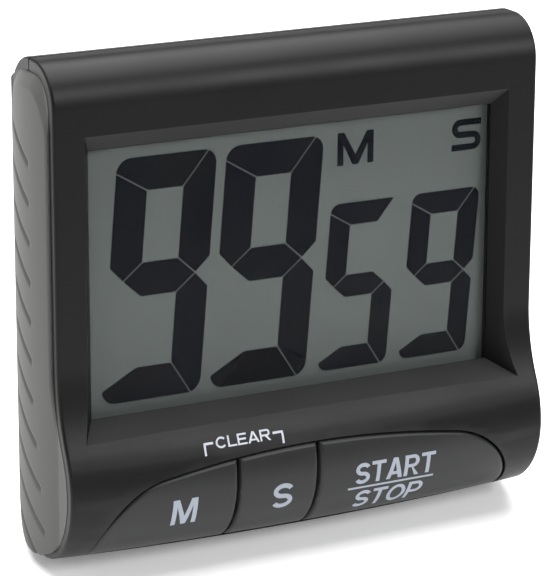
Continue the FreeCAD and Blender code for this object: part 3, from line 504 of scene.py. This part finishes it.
def smooth_copy(name, finish_material, body, angle=28):
    """A copy of a node with its triangles merged, so that its curved faces shade smoothly."""
    mesh = frame["nodes"][name].data.copy()
    mesh.name = name + "_shape"
    work = bmesh.new()
    work.from_mesh(mesh)
    bmesh.ops.remove_doubles(work, verts=work.verts, dist=MERGE)
    bmesh.ops.dissolve_limit(work, angle_limit=math.radians(FLAT), verts=work.verts, edges=work.edges)
    work.to_mesh(mesh)
    work.free()
    if mesh.has_custom_normals:
        mesh.attributes.remove(mesh.attributes["custom_normal"])
    piece = place(name + "_outside", mesh, finish_material, body, (name,), angle)
    even_out = piece.modifiers.new("Weighted normals", "WEIGHTED_NORMAL")
    even_out.keep_sharp = True
    return piece


# how squarely a slanting wall of the window's opening may face forward, from 0 to 1
LEAST_FORWARD = 0.2
MOST_FORWARD = 0.75


def paint_walls_lighter(piece, finish_material):
    """A paler copy of the black plastic for the slanting walls between the face and the display: painted
    light, standing in for the light that those walls catch.
    """
    mesh = piece.data
    mesh.materials.append(finish_material)
    centres, normals = np.empty(len(mesh.polygons) * 3), np.empty(len(mesh.polygons) * 3)
    mesh.polygons.foreach_get("center", centres)
    mesh.polygons.foreach_get("normal", normals)
    x, y, z = ((centres.reshape(-1, 3) - ORIGIN) @ TURN).T
    forward = -(normals.reshape(-1, 3) @ TURN)[:, 1]
    c = case()
    inside = (np.abs(x) < c.window_half) & (z > c.window_low) & (z < c.window_high)
    slanting = (forward > LEAST_FORWARD) & (forward < MOST_FORWARD)
    walls = inside & slanting & (y > c.window_near) & (y < c.window_depth)
    mesh.polygons.foreach_set("material_index", walls.astype(np.int32))


class TIMER_OT_keys(bpy.types.Operator):
    """Build the three key caps as crowned pads that follow the belly"""
    bl_idname = "timer.keys"
    bl_label = "Key caps"

    def execute(self, context):
        k = keys()
        # the caps' paler colour is painted sheen, and their rounded edges get a painted highlight
        plastic = moulded_plastic("Key plastic", finish().key, 0.40, edge_highlight=0.7, gloss=0.3)
        spans = {"button_m": (-k.arch_half, k.divide_left - k.gap),
                 "button_s": (k.divide_left + k.gap, k.divide_right - k.gap),
                 "button_start_stop": (k.divide_right + k.gap, k.arch_half)}
        for name, (left, right) in spans.items():
            place(name + "_cap", key_cap(name, left, right), plastic, name, (name,), 50)
        return {"FINISHED"}


def arch_top(x):
    """Height of the key arch at x: a wide crown arc between two shoulder arcs."""
    k = keys()
    rise = k.arch_height - k.shoulder_height
    crown = (k.shoulder_half ** 2 + rise ** 2) / (2 * rise)
    foot, r = k.arch_half, k.shoulder_radius
    chord = np.array([k.shoulder_half - foot, k.shoulder_height - k.arch_low])
    half = np.linalg.norm(chord) / 2
    side = np.array([-chord[1], chord[0]]) / (2 * half)
    middle = np.array([foot + k.shoulder_half, k.arch_low + k.shoulder_height]) / 2
    centre = middle + side * math.sqrt(r * r - half * half)
    shoulder = centre[1] + np.sqrt(np.clip(r * r - (np.abs(x) - centre[0]) ** 2, 0, None))
    crown_z = k.arch_height - crown + np.sqrt(crown ** 2 - x ** 2)
    return np.where(np.abs(x) > k.shoulder_half, shoulder, crown_z)


LIP = 0.2 * MM            # a cap's least thickness, at its lower edge
LEAST_HEIGHT = 0.02 * MM  # a cap's height at the arch's pointed ends


def key_cap(name, left, right):
    """A pad between the arch's foot and its top: its face lies on the belly, falls away along its rim
    in a quarter circle, and its back is a plain step behind the face, no deeper than the opening."""
    k = keys()
    x = closer_ends(left, right, 120, 0.7 * MM)
    share = closer_ends(0.0, 1.0, 50, 0.05)
    top = np.maximum(arch_top(x), k.arch_low + LEAST_HEIGHT)
    grid_x = np.repeat(x[:, None], len(share), axis=1)
    grid_z = k.arch_low + (top[:, None] - k.arch_low) * share[None]
    fall = rolled(rim_distance(grid_x, grid_z, grid_rim(grid_x, grid_z)), k.edge)
    surface = front_y(grid_x, grid_z)
    near = np.minimum(surface + fall, k.deepest - LIP)
    far = np.minimum(surface + k.thickness, k.deepest)
    front = np.stack([grid_x, near, grid_z], axis=-1)
    back = np.stack([grid_x, far, grid_z], axis=-1)
    return pad_mesh(name + "_cap", to_model(front), to_model(back))


class TIMER_OT_grips(bpy.types.Operator):
    """Build the soft side panels with their slanting grooves"""
    bl_idname = "timer.grips"
    bl_label = "Grips"

    def execute(self, context):
        rubber = soft_rubber()
        for side, name in ((-1, "left_grip"), (1, "right_grip")):
            place(name + "_panel", grip_panel(name, side), rubber, "case", (name,), 40)
        return {"FINISHED"}


def grip_sides(z):
    """Front and back ends of the panel at a height. In front: a belly arc, a swelling arc, a hollow arc,
    a straight edge and a rounded corner; at the back: a foot arc, a straight edge and a sloping top."""
    g, c = grip(), case()
    brow_y, scoop, meet = front_arcs(c)
    brow, belly, foot = c.brow_radius - g.inset, c.belly_height - g.bottom, g.foot
    under = brow_y - brow + belly - np.sqrt(np.clip(belly ** 2 - (c.belly_height - z) ** 2, 0, None))
    swell = brow_y - np.sqrt(np.clip(brow ** 2 - (z - c.belly_height) ** 2, 0, None))
    hollow = np.sqrt(np.clip((scoop + g.inset) ** 2 - (c.scoop_top - z) ** 2, 0, None)) - scoop
    turn = np.clip(z - (g.top - g.corner), 0, g.corner)
    corner = g.inset + g.corner - np.sqrt(g.corner ** 2 - turn ** 2)
    upper = np.where(z < c.scoop_top, hollow, corner)
    front = np.where(z < c.belly_height, under, np.where(z < meet, swell, upper))
    heel = g.back - foot + np.sqrt(np.clip(foot ** 2 - np.clip(g.bottom + foot - z, 0, foot) ** 2, 0, None))
    length = g.back - g.slope_start
    fall = (length ** 2 + g.slope_fall ** 2) / (2 * g.slope_fall)
    slope = g.slope_start + np.sqrt(np.clip(fall ** 2 - np.clip(z - g.top + fall, 0, None) ** 2, 0, None))
    return front, np.minimum(heel, slope)


# a groove's width measured across it, and the shares of the panel's depth that it runs over
GROOVE_TILT = 0.82
GROOVE_REACH = 0.54
GROOVE_GROWTH = 0.22
LAST_GROOVE = 10


def groove_depth(y, z):
    """Depth of the grooves at a point of the panel. Each groove starts at the back edge and runs down
    and forward to a round end, near the middle of the panel and further forward on the belly."""
    g = grip()
    run = (g.back - y) / g.back
    level = z + g.groove_drop * run
    number = np.clip(np.round((g.groove_first - level) / g.groove_pitch), 0, LAST_GROOVE)
    start = g.groove_first - number * g.groove_pitch
    off = (level - start) * GROOVE_TILT
    end = GROOVE_REACH + GROOVE_GROWTH * np.clip((g.reach_top - start) / g.reach_span, 0, 1)
    beyond = np.clip(run - end, 0, None) * g.back
    away = np.hypot(off, beyond)
    return g.groove_depth * np.exp(-(away / g.groove_width) ** 2)


FACET_SLOPE = 0.42


def grip_panel(name, side):
    """A pad that stands on the side of the case: its face is part of an upright cylinder, its rim is
    rounded and its upper front corner is cut by a facet, and its grooves are sunk into it."""
    g, c = grip(), case()
    z = closer_ends(g.bottom, g.top, 360, 1.0 * MM, 12)
    front_end, back_end = grip_sides(z)
    share = closer_ends(0.0, 1.0, 50, 0.05, 7)
    grid_z = np.repeat(z[:, None], len(share), axis=1)
    grid_y = front_end[:, None] + (back_end - front_end)[:, None] * share[None]
    away = rim_distance(grid_y, grid_z, grid_rim(grid_y, grid_z))
    half = c.width / 2
    rise = np.sqrt(g.crown ** 2 - (grid_y - g.crown_y) ** 2) - g.crown + g.bulge
    wide = g.facet * np.clip((grid_z - g.facet_low) / g.facet_grow, 0, 1)
    facet = FACET_SLOPE * np.clip(wide - away, 0, None) * (grid_y < g.facet_back)
    height = rise - rolled(away, g.edge) - facet - groove_depth(grid_y, grid_z)
    x = side * (half + np.maximum(height, 0.06 * MM))
    outer = np.stack([x, grid_y, grid_z], axis=-1)
    inner = np.stack([np.full_like(x, side * half), grid_y, grid_z], axis=-1)
    return pad_mesh(name, to_model(outer), to_model(inner))


# each legend's piece, its body, and its words and bars with their left, right, low and high ends in mm
LEGENDS = (
    ("legend_clear", "case", [("text", "CLEAR", -15.72, -6.85, 16.28, 17.82),
                              ("bar", -17.7, -16.15, 17.0, 17.32), ("bar", -17.7, -17.38, 15.55, 17.32),
                              ("bar", -6.45, -4.75, 17.0, 17.32), ("bar", -5.07, -4.75, 15.55, 17.32)]),
    ("legend_m", "button_m", [("text", "M", -23.0, -19.05, 5.45, 9.7)]),
    ("legend_s", "button_s", [("text", "S", -6.75, -3.45, 5.3, 9.5)]),
    ("legend_start_stop", "button_start_stop", [("text", "START", 6.85, 20.4, 7.1, 10.6),
                                                ("bar", 5.9, 20.5, 6.28, 6.62),
                                                ("text", "STOP", 7.7, 19.2, 2.35, 5.75)]))
BAND = 0.3 * MM        # height of the bands that lettering is cut into
INK_ABOVE = 0.03 * MM  # the ink's upper side over the surface
INK_BELOW = 0.02 * MM  # its lower side under the surface


class TIMER_OT_legends(bpy.types.Operator):
    """Print the legends on the belly and the keys"""
    bl_idname = "timer.legends"
    bl_label = "Legends"

    def execute(self, context):
        ink, pale = legend_ink("Legend ink", finish().ink), legend_ink("Pale ink", finish().pale_ink)
        for name, body, parts in LEGENDS:
            mesh = printed(name, parts)
            place(name, mesh, pale if body == "case" else ink, body)
        return {"FINISHED"}


def printed(name, parts):
    """Flat lettering laid on the case's front, cut into narrow bands so that it bends with it, and as
    thick as a coat of ink."""
    work = bmesh.new()
    for part in parts:
        if part[0] == "bar":
            left, right, low, high = [value * MM for value in part[1:]]
            corners = [(left, 0, low), (right, 0, low), (right, 0, high), (left, 0, high)]
            work.faces.new([work.verts.new(corner) for corner in corners])
        else:
            flat = flat_text(*part[1:])
            work.from_mesh(flat)
            bpy.data.meshes.remove(flat)
    zs = [vertex.co.z for vertex in work.verts]
    for height in np.arange(min(zs), max(zs), BAND)[1:]:
        geometry = work.verts[:] + work.edges[:] + work.faces[:]
        bmesh.ops.bisect_plane(work, geom=geometry, plane_co=(0, 0, height), plane_no=(0, 0, 1))
    mesh = bpy.data.meshes.new(name)
    bmesh.ops.recalc_face_normals(work, faces=work.faces)
    work.to_mesh(mesh)
    work.free()
    flat = np.zeros(len(mesh.vertices) * 3)
    mesh.vertices.foreach_get("co", flat)
    flat = flat.reshape(-1, 3)
    x, z = flat[:, 0], flat[:, 2]
    base = np.stack([x, front_y(x, z), z], axis=1)
    mesh.vertices.foreach_set("co", to_model(base + front_normal(x, z) * INK_ABOVE).ravel())
    return thickened(mesh, to_model(base - front_normal(x, z) * INK_BELOW))


def thickened(mesh, under):
    """Close a sheet: the same faces on the under points, turned round, and walls along its rim."""
    work = bmesh.new()
    work.from_mesh(mesh)
    work.verts.ensure_lookup_table()
    rim = [edge for edge in work.edges if len(edge.link_faces) == 1]
    pairs = [(edge.verts[0].index, edge.verts[1].index) for edge in rim]
    faces = [[vertex.index for vertex in face.verts] for face in work.faces]
    top = len(work.verts)
    for point in under:
        work.verts.new(point)
    work.verts.ensure_lookup_table()
    for indices in faces:
        work.faces.new([work.verts[top + i] for i in reversed(indices)])
    for a, b in pairs:
        work.faces.new([work.verts[a], work.verts[b], work.verts[top + b], work.verts[top + a]])
    bmesh.ops.recalc_face_normals(work, faces=work.faces)
    work.to_mesh(mesh)
    work.free()
    return mesh


def flat_text(words, left, right, low, high):
    """A word as a flat mesh in X and Z that fills a box given in millimetres."""
    total = sum(LETTERS[letter][0] for letter in words) + LETTER_GAP * (len(words) - 1)
    unit = (right - left) / total
    curve = bpy.data.curves.new(words, "CURVE")
    curve.dimensions, curve.fill_mode = "2D", "FRONT"
    at = left
    for letter in words:
        share, draw = LETTERS[letter]
        width, height = share * unit, high - low
        for outline in draw(width, height, STROKE * height):
            spline = curve.splines.new("POLY")
            spline.points.add(len(outline) - 1)
            points = np.asarray(outline, float) + [at, low]
            flat = np.column_stack([points, np.zeros(len(points)), np.ones(len(points))])
            spline.points.foreach_set("co", flat.ravel())
            spline.use_cyclic_u = True
        at += width + LETTER_GAP * unit
    lettering = bpy.data.objects.new(words, curve)
    mesh = bpy.data.meshes.new_from_object(lettering)
    bpy.data.objects.remove(lettering)
    bpy.data.curves.remove(curve)
    points = np.zeros(len(mesh.vertices) * 3)
    mesh.vertices.foreach_get("co", points)
    points = points.reshape(-1, 3) * MM
    mesh.vertices.foreach_set("co", points[:, [0, 2, 1]].ravel())
    return mesh


def bent(centre, radii, start, end, count=24):
    """Points of an elliptic arc, from one angle to another in degrees."""
    angle = np.radians(np.linspace(start, end, count))
    return np.stack([centre[0] + radii[0] * np.cos(angle), centre[1] + radii[1] * np.sin(angle)], axis=1)


def ribbon(line, stroke):
    """The outline of a stroke of even width along a line."""
    along = np.gradient(line, axis=0)
    along /= np.linalg.norm(along, axis=1, keepdims=True)
    side = np.stack([-along[:, 1], along[:, 0]], axis=1) * stroke / 2
    return np.vstack([line + side, (line - side)[::-1]])


def letter_a(w, h, s):
    bar, lean = 0.2 * h, (w / 2 - 0.62 * s) / h
    return [[(0, 0), (w / 2 - 0.62 * s, h), (w / 2 + 0.62 * s, h), (w, 0), (w - 1.12 * s, 0),
             (w - 1.12 * s - lean * bar, bar), (1.12 * s + lean * bar, bar), (1.12 * s, 0)],
            [(1.12 * s + lean * (bar + s), bar + 0.85 * s), (w / 2, h - 1.25 * s),
             (w - 1.12 * s - lean * (bar + s), bar + 0.85 * s)]]


def letter_c(w, h, s):
    return [ribbon(bent((w / 2, h / 2), ((w - s) / 2, (h - s) / 2), 42, 318, 40), s)]


def letter_e(w, h, s):
    low, high = (h - s) / 2 * 1.04, (h + s) / 2 * 1.02
    return [[(0, 0), (w, 0), (w, 0.9 * s), (s, 0.9 * s), (s, low), (0.9 * w, low), (0.9 * w, high), (s, high),
             (s, h - 0.9 * s), (0.97 * w, h - 0.9 * s), (0.97 * w, h), (0, h)]]


def letter_l(w, h, s):
    return [[(0, 0), (w, 0), (w, 0.9 * s), (s, 0.9 * s), (s, h), (0, h)]]


def letter_m(w, h, s):
    return [[(0, 0), (0, h), (1.35 * s, h), (w / 2, 0.34 * h), (w - 1.35 * s, h), (w, h), (w, 0),
             (w - 0.95 * s, 0), (w - 0.95 * s, 0.74 * h), (w / 2 + 0.48 * s, 0), (w / 2 - 0.48 * s, 0),
             (0.95 * s, 0.74 * h), (0.95 * s, 0)]]


def letter_o(w, h, s):
    return [bent((w / 2, h / 2), (w / 2, h / 2), 0, 352, 44),
            bent((w / 2, h / 2), (w / 2 - s, h / 2 - 0.9 * s), 0, 352, 44)]


def bowl(w, h, s, foot):
    """The closed counter of P and R, whose lower bar is at a height, and the half round outside it."""
    middle, tall = (h + foot) / 2, (h - foot) / 2
    flat = w - 0.98 * tall
    outside = bent((flat, middle), (w - flat, tall), 90, -90)
    inside = bent((flat, middle), (w - flat - s, tall - 0.88 * s), -90, 90)
    return outside, np.vstack([[(s, foot + 0.88 * s)], inside, [(s, h - 0.88 * s)]])


def letter_p(w, h, s):
    outside, counter = bowl(w, h, s, 0.36 * h)
    return [np.vstack([[(0, 0), (0, h)], outside, [(s, 0.36 * h), (s, 0)]]), counter]


def letter_r(w, h, s):
    outside, counter = bowl(0.95 * w, h, s, 0.41 * h)
    return [np.vstack([[(0, 0), (0, h)], outside, [(w, 0), (w - 1.2 * s, 0), (0.46 * w, 0.41 * h),
                                                   (s, 0.41 * h), (s, 0)]]), counter]


def letter_s(w, h, s):
    radii = ((w - s) / 2, (h - s) / 4)
    upper = bent((w / 2, h - s / 2 - radii[1]), radii, 22, 262, 30)
    lower = bent((w / 2, s / 2 + radii[1]), radii, 82, -158, 30)
    return [ribbon(np.vstack([upper, lower]), s)]


def letter_t(w, h, s):
    top = h - 0.9 * s
    return [[(0, h), (w, h), (w, top), ((w + s) / 2, top), ((w + s) / 2, 0), ((w - s) / 2, 0),
             ((w - s) / 2, top), (0, top)]]


# each letter's width against the others, and what draws it
LETTERS = {"A": (0.74, letter_a), "C": (0.72, letter_c), "E": (0.62, letter_e), "L": (0.58, letter_l),
           "M": (0.83, letter_m), "O": (0.78, letter_o), "P": (0.66, letter_p), "R": (0.70, letter_r),
           "S": (0.66, letter_s), "T": (0.64, letter_t)}
LETTER_GAP = 0.07
STROKE = 0.175


class TIMER_OT_display(bpy.types.Operator):
    """Finish the window and the liquid-crystal stack"""
    bl_idname = "timer.display"
    bl_label = "Display"

    def execute(self, context):
        dress("display_window", clear_pane("Window pane", (0.02, 0.02, 0.02), 0.02))
        front_sheet()
        film = screen_film()
        dress("lcd_rear_glass", film)
        dress("window_border", moulded_plastic("Border ink", finish().border, 0.5, spread=0.1))
        dress("lcd_rear_film", film)
        dress("lcd_image", segment_dark())
        return {"FINISHED"}


def front_sheet():
    """The front film and glass as one clear sheet: the glass's outline."""
    mesh = frame["nodes"]["lcd_front_glass"].data.copy()
    mesh.name = "lcd_front_sheet_shape"
    outwards(mesh)
    place("lcd_front_sheet", mesh, clear_pane("Display glass", (0.02, 0.02, 0.02), 0.015), "case",
          ("lcd_front_glass", "lcd_front_film"))


class TIMER_OT_insides(bpy.types.Operator):
    """Finish the pieces inside the case, the fixings and the magnets"""
    bl_idname = "timer.insides"
    bl_label = "Insides"

    def execute(self, context):
        steel = metal("Plated steel", (0.62, 0.62, 0.60), 0.3)
        dark = metal("Blackened steel", (0.10, 0.10, 0.11), 0.4)
        rubber = moulded_plastic("Keypad silicone", (0.42, 0.42, 0.42), 0.6, spread=0.05)
        carbon = moulded_plastic("Carbon rubber", (0.015, 0.015, 0.015), 0.7)
        finishes = {
            "main_board": board_lacquer(), "board_screws": steel, "crystal": steel, "coin_cell": steel,
            "positive_contact": steel, "negative_contact": steel, "case_screws": dark,
            "keypad": rubber, "keypad_pills": carbon, "controller_blob": carbon,
            "left_magnet": metal("Magnet plating", (0.30, 0.30, 0.31), 0.42),
            "lcd_frame": moulded_plastic("Frame plastic", (0.012, 0.012, 0.012), 0.5),
            "zebra_strip": moulded_plastic("Striped silicone", (0.3, 0.3, 0.33), 0.6),
            "buzzer_disc": metal("Thin brass", (0.75, 0.56, 0.26), 0.3),
            "buzzer_ceramic": moulded_plastic("Silvered ceramic", (0.7, 0.7, 0.66), 0.4),
            "buzzer_lead_live": moulded_plastic("Red insulation", (0.42, 0.02, 0.02), 0.45),
            "buzzer_lead_return": moulded_plastic("Black insulation", (0.02, 0.02, 0.02), 0.45),
        }
        finishes["right_magnet"] = finishes["left_magnet"]
        finishes["battery_lead_positive"] = finishes["buzzer_lead_live"]
        finishes["battery_lead_negative"] = finishes["buzzer_lead_return"]
        for name, made in finishes.items():
            dress(name, made)
        return {"FINISHED"}


# each area light's place and size in metres, and its power in watts
LIGHTS = (("Key light", (0.345, -0.525, 0.57), 0.3, 3.4),
          ("Overhead light", (0.0, 0.28, 0.75), 1.0, 18.0),
          ("Side light", (-0.8, 0.1, 0.35), 0.5, 1.6))


class TIMER_OT_stage(bpy.types.Operator):
    """Lay the floor, set the lights and place the camera"""
    bl_idname = "timer.stage"
    bl_label = "Stage"

    def execute(self, context):
        scene = context.scene
        floor_mesh = bpy.data.meshes.new("floor")
        side = 3.0
        floor_mesh.from_pydata([(-side, -side, 0), (side, -side, 0), (side, side, 0), (-side, side, 0)], [],
                               [(0, 1, 2, 3)])
        floor = bpy.data.objects.new("floor", floor_mesh)
        scene.collection.objects.link(floor)
        pale, _, _ = material("Pale floor", Base_Color=(0.97, 0.97, 0.97, 1), Roughness=0.9,
                              Emission_Color=(1, 1, 1, 1), Emission_Strength=0.2)
        floor_mesh.materials.append(pale)
        world = bpy.data.worlds.new("Studio")
        scene.world = world
        world.use_nodes = True
        sky = world.node_tree.nodes["Background"]
        sky.inputs["Color"].default_value = (1, 1, 1, 1)
        sky.inputs["Strength"].default_value = 0.15
        for name, spot, size, power in LIGHTS:
            lamp = bpy.data.lights.new(name, "AREA")
            lamp.energy, lamp.size = power, size
            holder = bpy.data.objects.new(name, lamp)
            scene.collection.objects.link(holder)
            holder.location = spot
            aim = Vector((0, 0, 0.035)) - Vector(spot)
            holder.rotation_euler = aim.to_track_quat("-Z", "Y").to_euler()
        scene.view_settings.view_transform = "Standard"
        aim_camera(scene)
        return {"FINISHED"}


def aim_camera(scene):
    """A long lens to the left of the timer and above it, looking at the middle of its face."""
    yaw, pitch, roll, away = math.radians(26.76), math.radians(16.88), math.radians(0.235), 445.58 * MM
    target = np.array([-4.55, 0, 38.2]) * MM
    ahead = np.array([math.sin(yaw) * math.cos(pitch), math.cos(yaw) * math.cos(pitch), -math.sin(pitch)])
    right = np.array([math.cos(yaw), -math.sin(yaw), 0])
    up = np.cross(right, ahead)
    tilted_right = math.cos(roll) * right + math.sin(roll) * up
    tilted_up = -math.sin(roll) * right + math.cos(roll) * up
    columns = [TURN @ axis for axis in (tilted_right, tilted_up, -ahead)]
    eye = to_model((target - ahead * away)[None])[0]
    camera = bpy.data.cameras.new("Camera")
    camera.sensor_fit = "AUTO"
    camera.sensor_width = 36
    camera.lens = 191.49
    camera.clip_start = 0.01
    holder = bpy.data.objects.new("Camera", camera)
    scene.collection.objects.link(holder)
    turn = Matrix(np.stack(columns, axis=1).tolist()).to_4x4()
    holder.matrix_world = Matrix.Translation(Vector(eye)) @ turn
    scene.camera = holder


class TIMER_PT_panel(bpy.types.Panel):
    """The timer's operators, in the order they are run"""
    bl_idname = "TIMER_PT_panel"
    bl_label = "Count-down timer"
    bl_space_type = "VIEW_3D"
    bl_region_type = "UI"
    bl_category = "Timer"

    def draw(self, context):
        for operator in OPERATORS:
            self.layout.operator(operator.bl_idname)


SETTINGS = {"timer_case": CaseSizes, "timer_keys": KeySizes, "timer_grip": GripSizes,
            "timer_finish": Finishes}
OPERATORS = (TIMER_OT_stage, TIMER_OT_housings, TIMER_OT_keys, TIMER_OT_grips, TIMER_OT_legends,
             TIMER_OT_display, TIMER_OT_insides)


def register():
    for settings in SETTINGS.values():
        bpy.utils.register_class(settings)
    for operator in OPERATORS:
        bpy.utils.register_class(operator)
    bpy.utils.register_class(TIMER_PT_panel)
    for name, settings in SETTINGS.items():
        setattr(bpy.types.Scene, name, bpy.props.PointerProperty(type=settings))


def unregister():
    for name in SETTINGS:
        delattr(bpy.types.Scene, name)
    for made in (TIMER_PT_panel, *reversed(OPERATORS), *SETTINGS.values()):
        bpy.utils.unregister_class(made)


def main():
    register()
    for operator in OPERATORS:
        group_name, call = operator.bl_idname.split(".")
        getattr(getattr(bpy.ops, group_name), call)()


if __name__ == "__main__":
    main()
